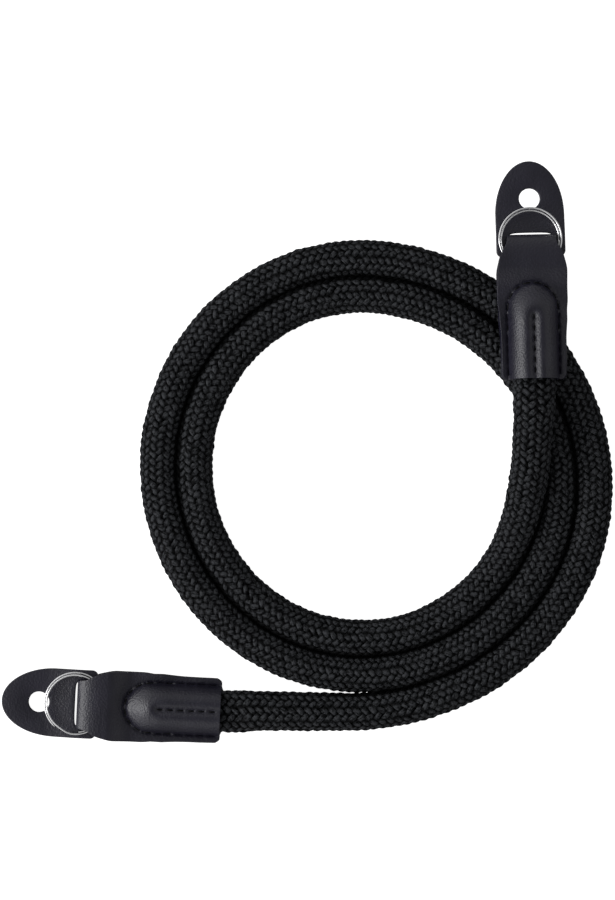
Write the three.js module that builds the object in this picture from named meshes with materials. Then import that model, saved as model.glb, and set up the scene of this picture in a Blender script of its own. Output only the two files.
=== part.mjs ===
// Coiled rope camera strap: one braided rope in a flat coil, sewn at both ends into a folded leather
// end that carries a split ring and a leather lug protector.
// Millimetres, +Z up, lying on the plane z = 0, with the origin under the middle of the whole strap.
import * as THREE from 'three';
import { TessellateModifier } from 'three/addons/modifiers/TessellateModifier.js';
import { mergeVertices } from 'three/addons/utils/BufferGeometryUtils.js';

const { degToRad, lerp, smoothstep } = THREE.MathUtils;

// Clearance left between pieces that touch on the real strap
const GAP = 0.3;

// Rope: round along the coil, pressed flat in the leather pockets, tapered at its hidden ends
const ROPE = {
  diameter: 9.7,
  sides: 12,
  step: 8,
  pocketWidth: 11.4,
  pocketHeight: 5.6,
  inPocket: 22,
  pocketSpans: 3,
  taper: 7,
  tipShare: 0.5,
  easeFrom: 20,
  easeTo: 36,
  routeSamples: 2000,
};
const ROPE_RADIUS = ROPE.diameter / 2;

// Coil: turns run clockwise seen from above, angles counted from +X, and each turn steps out past
// the one before it over the same stretch of angle
const COIL = {
  centreX: 15.5,
  centreY: -3.8,
  innerRadius: 47.65,
  turnSpacing: 10.1,
  oval: 0.6,
  startDeg: 45,
  endDeg: 795,
  stepDeg: 15,
  stepOutFromDeg: 277,
  stepOutToDeg: 395,
};

// Route of the rope off the coil: from the upper leather end down beside the coil's inner turn
const LEAD_IN = [
  { x: 63.0, y: 14.85, z: 15.9 },
  { x: 62.85, y: 9.85, z: 15.2 },
  { x: 62.6, y: 4.85, z: 13.9 },
  { x: 62.4, y: -0.15, z: 12.45 },
  { x: 62.05, y: -5.15, z: 10.9 },
  { x: 61.3, y: -10.4, z: 9.35 },
  { x: 60.2, y: -16.3, z: 7.7 },
  { x: 58.4, y: -22.25, z: 6.2 },
  { x: 56.0, y: -28.05, z: 5.2 },
];

// Route of the rope off the coil: from the outer turn straight to the lower leather end
const TAIL = [
  { x: 24.8, y: -71.6, z: ROPE_RADIUS },
  { x: 15.5, y: -72.4, z: ROPE_RADIUS },
  { x: 6.6, y: -72.5, z: ROPE_RADIUS },
  { x: -2.4, y: -72.4, z: ROPE_RADIUS },
  { x: -12.5, y: -72.3, z: ROPE_RADIUS },
];

// Leather end, in its own frame: u along it from the fold to the pocket's mouth, v across it,
// w up from its flat underside
const LEATHER = {
  thickness: 1.4,
  steepestShare: 1.2,
  mouthU: 40,
  mouthCornerU: 38.6,
  loopClear: 4.2,
  loopToU: 8,
  closedFromU: 15.2,
  flangeLift: 1.2,
  foldSteps: 8,
};

// Pocket: the bulge over the rope inside the U-shaped seam, with a sewn groove along its middle
const POCKET = {
  halfWidth: 6.95,
  archCentreU: 20,
  bulge: 6.1,
  fullness: 0.6,
  archShare: 0.55,
  fullFromU: 24,
  grooveDepth: 0.9,
  grooveHalfWidth: 1.1,
  grooveFromU: 20,
  grooveFullU: 23,
};

// Outline of the leather end: half its width at each station
const LEATHER_OUTLINE = [
  { u: 0, half: 6.7 },
  { u: 2.4, half: 7.1 },
  { u: 4.2, half: 8.2 },
  { u: 6.5, half: 8.95 },
  { u: 10.5, half: 9.7 },
  { u: 17.5, half: 9.75 },
  { u: 22.5, half: 9.25 },
  { u: 29, half: 8.85 },
  { u: LEATHER.mouthCornerU, half: 8.75 },
  { u: 39.6, half: 8.1 },
  { u: LEATHER.mouthU, half: 7.4 },
];

// Spans of rows along each half of the leather end, and the columns across half its width
const LEATHER_SPANS = [
  { toU: LEATHER.loopToU, rows: 2 },
  { toU: LEATHER.closedFromU, rows: 6 },
  { toU: POCKET.fullFromU, rows: 6 },
  { toU: LEATHER.mouthCornerU, rows: 4 },
  { toU: LEATHER.mouthU, rows: 3 },
];
const LEATHER_COLUMNS = [0, 0.13, 0.27, 0.43, 0.58, 0.7, 0.79, 1];

// Lug protector: a tongue with a round end, bent from the floor up over the leather end's back half
const PROTECTOR = {
  thickness: 1.4,
  tipU: -21.2,
  edgeU: 5.7,
  halfWidth: 9.6,
  roundLength: 15,
  cornerRadius: 1.4,
  holeU: -10.7,
  holeRadius: 3.05,
  slitFromU: -0.95,
  slitToU: 3.35,
  slitHalfLength: 7.5,
  slitCornerRadius: 0.5,
  flatToU: -14,
  raisedFromU: 2,
  facetLength: 9,
  facetSplits: 6,
  arcSegments: 6,
  mergeWithin: 0.001,
};

// Split ring: two coils of fine wire, the outer one stepping up and in to the inner one over the crossing
const RING = {
  outerRadius: 8.87,
  wireWidth: 0.6,
  wireHeight: 0.65,
  coilGap: 0.1,
  coilInset: 0.65,
  crossingDeg: 45,
  turnsDeg: 720,
  stepDeg: 15,
  flatShare: 0.5,
  pitchDeg: 2,
};

// Where each leather end lies: its fold on the floor plan, its heading from fold to mouth, its pitch,
// the u of the rope that it rests on, how far its protector is pulled out, and its ring's place along
// and across it, flip and turn
const ENDS = [
  {
    name: 'a',
    foldX: 62.3,
    foldY: 60.05,
    headingDeg: -88.8,
    pitchDeg: 3,
    restsOnRopeU: 20,
    protectorU: 0,
    ringU: 0.9,
    ringV: -0.2,
    ringFlipDeg: 180,
    ringTurnDeg: 43,
  },
  {
    name: 'b',
    foldX: -64.0,
    foldY: -70.55,
    headingDeg: -2.65,
    pitchDeg: 0,
    restsOnRopeU: null,
    protectorU: -0.55,
    ringU: -0.87,
    ringV: 0.2,
    ringFlipDeg: 0,
    ringTurnDeg: 231,
  },
];

const ROPE_MATERIAL = new THREE.MeshStandardMaterial({ color: 0x1b1b1d, roughness: 0.85, metalness: 0 });
const LEATHER_MATERIAL = new THREE.MeshStandardMaterial({ color: 0x29282d, roughness: 0.6, metalness: 0 });
const STEEL_MATERIAL = new THREE.MeshStandardMaterial({ color: 0xc9cacd, roughness: 0.15, metalness: 1 });

// Geometry from points and triangles
function geometryOf(points, triangles) {
  const geometry = new THREE.BufferGeometry();
  const positions = points.flatMap((point) => point.toArray());
  geometry.setAttribute('position', new THREE.Float32BufferAttribute(positions, 3));
  geometry.setIndex(triangles);
  geometry.computeVertexNormals();
  return geometry;
}

// Closed tube through rings of points that turn anticlockwise about the way they follow each other
function loft(rings) {
  const sides = rings[0].length;
  const last = (rings.length - 1) * sides;
  const triangles = [];
  for (let ring = 0; ring < last; ring += sides) {
    for (let side = 0; side < sides; side += 1) {
      const a = ring + side;
      const b = ring + ((side + 1) % sides);
      triangles.push(a, b, b + sides);
      triangles.push(a, b + sides, a + sides);
    }
  }
  for (let side = 1; side + 1 < sides; side += 1) {
    triangles.push(0, side + 1, side);
    triangles.push(last, last + side, last + side + 1);
  }
  return geometryOf(rings.flat(), triangles);
}

// Closed sheet between an outer and an inner skin, two grids of the same rows and columns
function sheet(outer, inner) {
  const columns = outer[0].length;
  const lastRow = outer.length - 1;
  const lastColumn = columns - 1;
  const out = (row, column) => row * columns + column;
  const into = (row, column) => (outer.length + row) * columns + column;
  const triangles = [];
  const quad = (a, b, c, d) => triangles.push(a, b, c, a, c, d);
  for (let row = 0; row < lastRow; row += 1) {
    for (let column = 0; column < lastColumn; column += 1) {
      const next = column + 1;
      quad(out(row, column), out(row + 1, column), out(row + 1, next), out(row, next));
      quad(into(row, column), into(row, next), into(row + 1, next), into(row + 1, column));
    }
    quad(out(row, 0), into(row, 0), into(row + 1, 0), out(row + 1, 0));
    quad(out(row, lastColumn), out(row + 1, lastColumn), into(row + 1, lastColumn), into(row, lastColumn));
  }
  for (let column = 0; column < lastColumn; column += 1) {
    const next = column + 1;
    quad(out(0, column), out(0, next), into(0, next), into(0, column));
    quad(out(lastRow, column), into(lastRow, column), into(lastRow, next), out(lastRow, next));
  }
  return geometryOf([...outer.flat(), ...inner.flat()], triangles);
}

// Distance of the coil's middle line from its centre
function coilRadius(deg) {
  let steps = 0;
  for (let turnDeg = 0; turnDeg < COIL.endDeg - 360; turnDeg += 360) {
    steps += smoothstep(deg, COIL.stepOutFromDeg + turnDeg, COIL.stepOutToDeg + turnDeg);
  }
  return COIL.innerRadius + COIL.turnSpacing * steps - COIL.oval * Math.cos(2 * degToRad(deg));
}

// Points along the coil's middle line
function coilPoints() {
  const points = [];
  for (let deg = COIL.startDeg; deg <= COIL.endDeg; deg += COIL.stepDeg) {
    const radius = coilRadius(deg);
    const x = COIL.centreX + radius * Math.cos(degToRad(deg));
    const y = COIL.centreY - radius * Math.sin(degToRad(deg));
    points.push(new THREE.Vector3(x, y, ROPE_RADIUS));
  }
  return points;
}

// The rope's middle line inside one leather end, from its hidden tip to the mouth
function pocketPoints(end) {
  const points = [];
  for (let span = 0; span <= ROPE.pocketSpans; span += 1) {
    const fromMouth = ROPE.inPocket * (1 - span / ROPE.pocketSpans);
    points.push(end.localToWorld(new THREE.Vector3(LEATHER.mouthU - fromMouth, 0, ROPE_RADIUS)));
  }
  return points;
}

// Half width and half height of the rope at a distance from its nearer end
function ropeSection(fromEnd) {
  const tip = lerp(ROPE.tipShare, 1, smoothstep(fromEnd, 0, ROPE.taper));
  const round = smoothstep(fromEnd, ROPE.easeFrom, ROPE.easeTo);
  return {
    halfWidth: lerp((tip * ROPE.pocketWidth) / 2, ROPE_RADIUS, round),
    halfHeight: lerp((tip * ROPE.pocketHeight) / 2, ROPE_RADIUS, round),
  };
}

// The whole rope, one tube from pocket to pocket
function ropeGeometry(endA, endB) {
  const listed = (point) => new THREE.Vector3(point.x, point.y, point.z);
  const route = new THREE.CatmullRomCurve3([
    ...pocketPoints(endA),
    ...LEAD_IN.map(listed),
    ...coilPoints(),
    ...TAIL.map(listed),
    ...pocketPoints(endB).reverse(),
  ]);
  route.arcLengthDivisions = ROPE.routeSamples;
  const length = route.getLength();
  const steps = Math.round(length / ROPE.step);
  const up = new THREE.Vector3(0, 0, 1);
  const rings = [];
  for (let step = 0; step <= steps; step += 1) {
    const along = step / steps;
    const centre = route.getPointAt(along);
    centre.z = Math.max(centre.z, ROPE_RADIUS);
    const tangent = route.getTangentAt(along);
    const side = new THREE.Vector3().crossVectors(up, tangent).normalize();
    const rise = new THREE.Vector3().crossVectors(tangent, side);
    const section = ropeSection(length * Math.min(along, 1 - along));
    const ring = [];
    for (let corner = 0; corner < ROPE.sides; corner += 1) {
      const angle = (2 * Math.PI * corner) / ROPE.sides;
      const point = centre.clone();
      point.addScaledVector(side, section.halfWidth * Math.cos(angle));
      point.addScaledVector(rise, section.halfHeight * Math.sin(angle));
      ring.push(point);
    }
    rings.push(ring);
  }
  return loft(rings);
}

// Heights of the leather end's layers, whose fold is a half round between two radii
const FOLD_INNER_RADIUS = LEATHER.loopClear / 2;
const FOLD_OUTER_RADIUS = FOLD_INNER_RADIUS + LEATHER.thickness;
const LOOP_TOP = 2 * FOLD_OUTER_RADIUS;
const FLANGE_TOP = LEATHER.flangeLift + 2 * LEATHER.thickness + GAP;
const OUTLINE_CURVE = new THREE.CubicInterpolant(
  LEATHER_OUTLINE.map((row) => row.u),
  LEATHER_OUTLINE.map((row) => row.half),
  1,
);

function leatherHalfWidth(u) {
  return OUTLINE_CURVE.evaluate(u)[0];
}

// Share of the pocket's bulge at a place: nothing outside the U seam, all of it over the rope
function pocketShare(u, v) {
  const beforeArch = Math.min(u - POCKET.archCentreU, 0);
  const toSeam = Math.hypot(beforeArch, v) / POCKET.halfWidth;
  const dome = Math.max(1 - toSeam * toSeam, 0) ** POCKET.fullness;
  const archU = POCKET.archCentreU - POCKET.halfWidth;
  return dome * lerp(POCKET.archShare, 1, smoothstep(u, archU, POCKET.fullFromU));
}

// Height of the front layer's top face: high over the loop, low at the flange, bulged at the pocket
function frontTop(u, v) {
  const closed = smoothstep(u, LEATHER.loopToU, LEATHER.closedFromU);
  const sewn = smoothstep(u, POCKET.grooveFromU, POCKET.grooveFullU);
  const groove = POCKET.grooveDepth * sewn * Math.exp(-((v / POCKET.grooveHalfWidth) ** 2));
  return lerp(LOOP_TOP, FLANGE_TOP, closed) + POCKET.bulge * pocketShare(u, v) - groove;
}

// Height of the back layer's under face: on the floor, but lifted along the flange and the seam
function backUnder(u, v) {
  const closed = smoothstep(u, LEATHER.loopToU, LEATHER.closedFromU);
  return LEATHER.flangeLift * closed * (1 - Math.min(pocketShare(u, v) / POCKET.archShare, 1));
}

// Thickness measured upright: more on a sloping wall, up to the steepest wall's share
function uprightThickness(height, u, v) {
  const slopeU = (height(u + GAP, v) - height(u - GAP, v)) / (2 * GAP);
  const slopeV = (height(u, v + GAP) - height(u, v - GAP)) / (2 * GAP);
  return LEATHER.thickness * Math.min(Math.hypot(1, slopeU, slopeV), LEATHER.steepestShare);
}

// Stations along one half of the leather end, from the fold to the mouth
function leatherStations() {
  const stations = [FOLD_OUTER_RADIUS];
  for (const span of LEATHER_SPANS) {
    const from = stations.at(-1);
    for (let row = 1; row <= span.rows; row += 1) {
      stations.push(lerp(from, span.toU, row / span.rows));
    }
  }
  return stations;
}

// One folded strip: back half, fold and front half as a sheet with a skin on each side
function leatherGeometry() {
  const shares = [...LEATHER_COLUMNS.slice(1).reverse().map((share) => -share), ...LEATHER_COLUMNS];
  const outer = [];
  const inner = [];
  const addRow = (u, outerPoint, innerPoint) => {
    const across = shares.map((share) => share * leatherHalfWidth(u));
    outer.push(across.map(outerPoint));
    inner.push(across.map(innerPoint));
  };
  const stations = leatherStations();
  for (const u of stations.toReversed()) {
    const under = (v) => backUnder(u, v);
    const over = (v) => backUnder(u, v) + LEATHER.thickness;
    addRow(u, (v) => new THREE.Vector3(u, v, under(v)), (v) => new THREE.Vector3(u, v, over(v)));
  }
  for (let step = 1; step < LEATHER.foldSteps; step += 1) {
    const angle = Math.PI * (step / LEATHER.foldSteps - 0.5);
    const at = (radius, v) => new THREE.Vector3(
      FOLD_OUTER_RADIUS - radius * Math.cos(angle),
      v,
      FOLD_OUTER_RADIUS + radius * Math.sin(angle),
    );
    const u = at(FOLD_OUTER_RADIUS, 0).x;
    addRow(u, (v) => at(FOLD_OUTER_RADIUS, v), (v) => at(FOLD_INNER_RADIUS, v));
  }
  for (const u of stations) {
    const over = (v) => frontTop(u, v);
    const under = (v) => frontTop(u, v) - uprightThickness(frontTop, u, v);
    addRow(u, (v) => new THREE.Vector3(u, v, over(v)), (v) => new THREE.Vector3(u, v, under(v)));
  }
  return sheet(outer, inner);
}

// Rectangle with round corners, as a closed path
function roundedRectangle(path, fromU, toU, halfLength, radius) {
  path.moveTo(fromU + radius, -halfLength);
  path.lineTo(toU - radius, -halfLength);
  path.absarc(toU - radius, radius - halfLength, radius, -Math.PI / 2, 0);
  path.lineTo(toU, halfLength - radius);
  path.absarc(toU - radius, halfLength - radius, radius, 0, Math.PI / 2);
  path.lineTo(fromU + radius, halfLength);
  path.absarc(fromU + radius, halfLength - radius, radius, Math.PI / 2, Math.PI);
  path.lineTo(fromU, radius - halfLength);
  path.absarc(fromU + radius, radius - halfLength, radius, Math.PI, 1.5 * Math.PI);
  return path;
}

// Height of the protector's under face: flat on the floor at the tongue, raised at the slit
function protectorUnder(u) {
  const raised = LEATHER.thickness + GAP;
  return raised * smoothstep(u, PROTECTOR.flatToU, PROTECTOR.raisedFromU);
}

// The tongue cut from a flat sheet, then bent
function protectorGeometry() {
  const roundU = PROTECTOR.tipU + PROTECTOR.roundLength;
  const half = PROTECTOR.halfWidth;
  const corner = PROTECTOR.cornerRadius;
  const tongue = new THREE.Shape();
  tongue.moveTo(roundU, -half);
  tongue.lineTo(PROTECTOR.edgeU - corner, -half);
  tongue.absarc(PROTECTOR.edgeU - corner, corner - half, corner, -Math.PI / 2, 0);
  tongue.lineTo(PROTECTOR.edgeU, half - corner);
  tongue.absarc(PROTECTOR.edgeU - corner, half - corner, corner, 0, Math.PI / 2);
  tongue.lineTo(roundU, half);
  tongue.absellipse(roundU, 0, PROTECTOR.roundLength, half, Math.PI / 2, 1.5 * Math.PI);
  const hole = new THREE.Path();
  hole.absarc(PROTECTOR.holeU, 0, PROTECTOR.holeRadius, 0, 2 * Math.PI);
  const slit = new THREE.Path();
  const { slitFromU, slitToU, slitHalfLength, slitCornerRadius } = PROTECTOR;
  roundedRectangle(slit, slitFromU, slitToU, slitHalfLength, slitCornerRadius);
  tongue.holes.push(hole, slit);
  const flat = new THREE.ExtrudeGeometry(tongue, {
    depth: PROTECTOR.thickness,
    bevelEnabled: false,
    curveSegments: PROTECTOR.arcSegments,
  });
  const bent = new TessellateModifier(PROTECTOR.facetLength, PROTECTOR.facetSplits).modify(flat);
  bent.deleteAttribute('normal');
  bent.deleteAttribute('uv');
  const position = bent.getAttribute('position');
  for (let vertex = 0; vertex < position.count; vertex += 1) {
    position.setZ(vertex, position.getZ(vertex) + protectorUnder(position.getX(vertex)));
  }
  const merged = mergeVertices(bent, PROTECTOR.mergeWithin);
  merged.computeVertexNormals();
  return merged;
}

// Two coils of fine wire about the ring's own axis
function ringGeometry() {
  const outerMiddle = RING.outerRadius - RING.wireWidth / 2;
  const innerMiddle = outerMiddle - RING.coilInset;
  const halfStep = (RING.wireHeight + RING.coilGap) / 2;
  const halfWidth = RING.wireWidth / 2;
  const halfHeight = RING.wireHeight / 2;
  const flat = RING.flatShare * halfWidth;
  const section = [
    { out: halfWidth, rise: 0 },
    { out: flat, rise: halfHeight },
    { out: -flat, rise: halfHeight },
    { out: -halfWidth, rise: 0 },
    { out: -flat, rise: -halfHeight },
    { out: flat, rise: -halfHeight },
  ];
  const endDeg = RING.turnsDeg - RING.crossingDeg;
  const rings = [];
  for (let deg = 0; deg <= endDeg; deg += RING.stepDeg) {
    const angle = degToRad(deg);
    const crossed = smoothstep(deg, 360 - RING.crossingDeg, 360);
    const middle = lerp(outerMiddle, innerMiddle, crossed);
    const height = lerp(-halfStep, halfStep, crossed);
    rings.push(section.map(({ out, rise }) => new THREE.Vector3(
      (middle + out) * Math.cos(angle),
      (middle + out) * Math.sin(angle),
      height + rise,
    )));
  }
  return loft(rings.map((ring) => ring.toReversed()));
}

// One end of the strap in its own u, v, w frame, with its pieces
function endGroup(end) {
  const group = new THREE.Group();
  const pitch = degToRad(end.pitchDeg);
  group.rotation.set(0, -pitch, degToRad(end.headingDeg), 'ZYX');
  group.position.set(end.foldX, end.foldY, 0);
  if (end.restsOnRopeU !== null) {
    const overRope = ROPE_RADIUS + (ROPE_RADIUS + GAP) / Math.cos(pitch);
    group.position.z = overRope - end.restsOnRopeU * Math.sin(pitch);
  }
  group.add(...endPieces(end));
  group.updateMatrixWorld(true);
  return group;
}

// The pieces of one end: leather, protector and the ring lying on the protector inside the loop
function endPieces(end) {
  const leather = new THREE.Mesh(leatherGeometry(), LEATHER_MATERIAL);
  leather.name = `leather_end_${end.name}`;
  const protector = new THREE.Mesh(protectorGeometry(), LEATHER_MATERIAL);
  protector.name = `lug_protector_${end.name}`;
  protector.position.x = end.protectorU;
  const ring = new THREE.Mesh(ringGeometry(), STEEL_MATERIAL);
  ring.name = `split_ring_${end.name}`;
  const pitch = degToRad(RING.pitchDeg);
  const ringUnder = protectorUnder(PROTECTOR.edgeU) + PROTECTOR.thickness + GAP;
  const toEdge = (PROTECTOR.edgeU + end.protectorU - end.ringU) * Math.sin(pitch);
  ring.rotation.set(degToRad(end.ringFlipDeg), -pitch, degToRad(end.ringTurnDeg), 'YZX');
  ring.position.set(end.ringU, end.ringV, ringUnder - toEdge + RING.wireHeight + RING.coilGap / 2);
  return [leather, protector, ring];
}

const groups = ENDS.map(endGroup);
const rope = new THREE.Mesh(ropeGeometry(...groups), ROPE_MATERIAL);
rope.name = 'rope';

const strap = new THREE.Group();
strap.add(rope, ...groups);

export default strap;
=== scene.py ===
"""Coiled camera strap: a braided rope, two sewn leather ends, lug protectors and split rings."""
import logging
import math
from dataclasses import dataclass, field
from enum import Enum
from typing import NamedTuple, Sequence

import bmesh
import bpy
import numpy as np
from mathutils import Matrix, Vector


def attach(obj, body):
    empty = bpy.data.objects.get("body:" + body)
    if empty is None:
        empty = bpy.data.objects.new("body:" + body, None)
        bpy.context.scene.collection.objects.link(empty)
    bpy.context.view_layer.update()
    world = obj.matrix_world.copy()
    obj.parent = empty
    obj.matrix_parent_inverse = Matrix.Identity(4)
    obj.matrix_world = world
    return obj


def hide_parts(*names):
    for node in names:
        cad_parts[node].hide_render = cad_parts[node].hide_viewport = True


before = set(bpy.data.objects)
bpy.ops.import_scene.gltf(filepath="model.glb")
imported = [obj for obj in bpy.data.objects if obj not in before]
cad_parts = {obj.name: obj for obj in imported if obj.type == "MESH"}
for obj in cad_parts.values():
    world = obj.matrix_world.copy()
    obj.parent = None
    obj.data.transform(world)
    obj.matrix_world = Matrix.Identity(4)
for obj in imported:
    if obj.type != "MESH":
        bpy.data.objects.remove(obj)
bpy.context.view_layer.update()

# Pieces are worked out in millimetres and placed in metres
MM = 0.001
STRAP_BODY = "strap"

# Attribute of a yarn's points that paints shade into its colour: 1 on top of the braid, 0 where it is
# covered and in painted shade
PAINTED_LIT_ATTRIBUTE = "painted_lit"
LOG = logging.getLogger("camera_strap")

Array = np.ndarray
Colour = tuple[float, float, float]
Place = tuple[float, float, float]
Material = bpy.types.Material
Socket = bpy.types.NodeSocket
Piece = bpy.types.Object
Pieces = list[Piece]


def eased(share: Array) -> Array:
    """Returns shares from 0 to 1 with a level start and a level finish."""
    return share * share * (3.0 - 2.0 * share)


def smoothstep(value: Array, low: float, high: float) -> Array:
    """Eases from 0 at low to 1 at high.

    Args:
        value: Where to read the ease.
        low: Value up to which it is 0.
        high: Value from which it is 1.

    Returns:
        The eased share at each value.
    """
    return eased(np.clip((np.asarray(value, dtype=float) - low) / (high - low), 0.0, 1.0))


def follow_table(stations: Sequence[float], values: Sequence[float], at: Array) -> Array:
    """Reads a smooth curve through the rows of a table, with no overshoot between rows.

    Args:
        stations: The rows' stations, rising.
        values: The rows' values.
        at: Stations to read, held at the table's ends outside it.

    Returns:
        The curve's value at each station asked for.
    """
    knots = np.asarray(stations, dtype=float)
    heights = np.asarray(values, dtype=float)
    spans = np.diff(knots)
    slopes = np.diff(heights) / spans
    product = slopes[:-1] * slopes[1:]
    total = slopes[:-1] + slopes[1:]
    level = (product <= 0.0) | (total == 0.0)
    tangents = np.concatenate([slopes[:1], np.zeros(len(product)), slopes[-1:]])
    tangents[1:-1] = np.where(level, 0.0, 2.0 * product / np.where(level, 1.0, total))
    where = np.clip(np.asarray(at, dtype=float), knots[0], knots[-1])
    row = np.clip(np.searchsorted(knots, where, side="right") - 1, 0, len(spans) - 1)
    share = (where - knots[row]) / spans[row]
    rest = 1.0 - share
    bend = share * rest * spans[row]
    ease = eased(share)
    level_part = heights[row] * (1.0 - ease) + heights[row + 1] * ease
    return level_part + bend * (rest * tangents[row] - share * tangents[row + 1])


def unit(vectors: Array) -> Array:
    """Returns vectors scaled to length 1 along their last axis."""
    return vectors / np.linalg.norm(vectors, axis=-1, keepdims=True)


def deselect_all() -> None:
    """Leaves nothing selected, so that the next operator acts on its own piece alone."""
    bpy.ops.object.select_all(action="DESELECT")


def make_active(piece: Piece) -> None:
    """Leaves one piece selected and active.

    Args:
        piece: The piece that the next operator acts on.
    """
    deselect_all()
    piece.select_set(True)
    bpy.context.view_layer.objects.active = piece


def name_active(name: str) -> Piece:
    """Names the object that the last operator added, and its mesh.

    Args:
        name: The piece's name.

    Returns:
        The object.
    """
    piece = bpy.context.active_object
    piece.name = name
    piece.data.name = name
    return piece


def apply_modifier(piece: Piece, kind: str, **settings: object) -> None:
    """Adds a modifier to a piece and applies it.

    Args:
        piece: The piece to change.
        kind: Blender's name of the modifier type.
        settings: The modifier's settings.
    """
    make_active(piece)
    modifier = piece.modifiers.new(kind.lower(), kind)
    for key, value in settings.items():
        setattr(modifier, key, value)
    bpy.ops.object.modifier_apply(modifier=modifier.name)


def shade_smooth(piece: Piece, angle_deg: float) -> None:
    """Shades a piece smooth, apart from edges sharper than an angle.

    Args:
        piece: The piece to shade.
        angle_deg: The sharpest angle that still shades smooth.
    """
    make_active(piece)
    bpy.ops.object.shade_smooth_by_angle(angle=math.radians(angle_deg))


def move_points(piece: Piece, points: Array) -> None:
    """Puts a mesh's points at new places.

    Args:
        piece: The piece to shape.
        points: One place for each of its points.
    """
    piece.data.vertices.foreach_set("co", np.ascontiguousarray(points, dtype=np.float32).ravel())
    piece.data.update()


def points_of(piece: Piece) -> Array:
    """Reads the places of a mesh's points.

    Args:
        piece: The piece to read.

    Returns:
        Their places, a row for each.
    """
    places = np.empty(3 * len(piece.data.vertices), dtype=np.float32)
    piece.data.vertices.foreach_get("co", places)
    return places.reshape(-1, 3).astype(float)


def put_in_scene(mesh: bpy.types.Mesh) -> Piece:
    """Makes a piece of a mesh, under the same name.

    Args:
        mesh: The mesh.

    Returns:
        The piece.
    """
    piece = bpy.data.objects.new(mesh.name, mesh)
    bpy.context.scene.collection.objects.link(piece)
    return piece


def tubes(name: str, rings: Array, painted_lit: Array) -> Piece:
    """Makes closed tubes through rings of points, all in one mesh, with a UV map along each.

    Args:
        name: The piece's name.
        rings: Places in millimetres by tube, ring and side, anticlockwise along the tube.
        painted_lit: How lit each point is painted, from 0 (painted shade) to 1.

    Returns:
        The piece, with u round each tube and v along it in millimetres.
    """
    count, rows, sides, _ = rings.shape
    tube, row, side = np.meshgrid(np.arange(count), np.arange(rows - 1), np.arange(sides), indexing="ij")
    first = (tube * rows + row) * sides
    near = first + side
    far = first + (side + 1) % sides
    walls = np.stack([near, far, far + sides, near + sides], axis=-1).reshape(-1)
    starts = np.arange(count)[:, None] * rows * sides
    heads = (starts + np.arange(sides)[::-1]).reshape(-1)
    tails = (starts + (rows - 1) * sides + np.arange(sides)).reshape(-1)
    corners = np.concatenate([walls, heads, tails])
    sizes = np.concatenate([np.full(len(walls) // 4, 4), np.full(2 * count, sides)])
    mesh = bpy.data.meshes.new(name)
    mesh.vertices.add(count * rows * sides)
    mesh.vertices.foreach_set("co", (rings * MM).astype(np.float32).ravel())
    mesh.loops.add(len(corners))
    mesh.loops.foreach_set("vertex_index", corners.astype(np.int32))
    mesh.polygons.add(len(sizes))
    loop_starts = np.concatenate([[0], np.cumsum(sizes)[:-1]])
    mesh.polygons.foreach_set("loop_start", loop_starts.astype(np.int32))
    mesh.polygons.foreach_set("use_smooth", np.ones(len(sizes), dtype=bool))
    middles = rings.mean(axis=2)
    steps = np.linalg.norm(np.diff(middles, axis=1), axis=-1)
    along = np.concatenate([np.zeros((count, 1)), np.cumsum(steps, axis=1)], axis=1)
    across = np.stack([side, side + 1, side + 1, side], axis=-1).reshape(-1) / sides
    lengthwise = np.stack(
        [along[tube, row], along[tube, row], along[tube, row + 1], along[tube, row + 1]], axis=-1
    ).reshape(-1)
    on_walls = np.stack([across, lengthwise], axis=-1)
    on_caps = np.zeros((len(heads) + len(tails), 2))
    layer = mesh.uv_layers.new(name="along")
    layer.uv.foreach_set("vector", np.concatenate([on_walls, on_caps]).ravel())
    mark_painted_lit(mesh, painted_lit)
    mesh.update()
    mesh.validate()
    return put_in_scene(mesh)


def mark_painted_lit(mesh: bpy.types.Mesh, painted_lit: Array) -> None:
    """Notes how lit each of a mesh's points is painted, for the yarn's colour, with 0 as painted shade.
    """
    layer = mesh.attributes.new(PAINTED_LIT_ATTRIBUTE, "FLOAT", "POINT")
    layer.data.foreach_set("value", np.ascontiguousarray(painted_lit, dtype=np.float32).ravel())


def wear(piece: Piece, *materials: Material) -> None:
    """Gives a piece its materials, in the order of its slots.

    Args:
        piece: The piece to dress.
        materials: One material for each slot.
    """
    piece.data.materials.clear()
    for material in materials:
        piece.data.materials.append(material)


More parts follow.
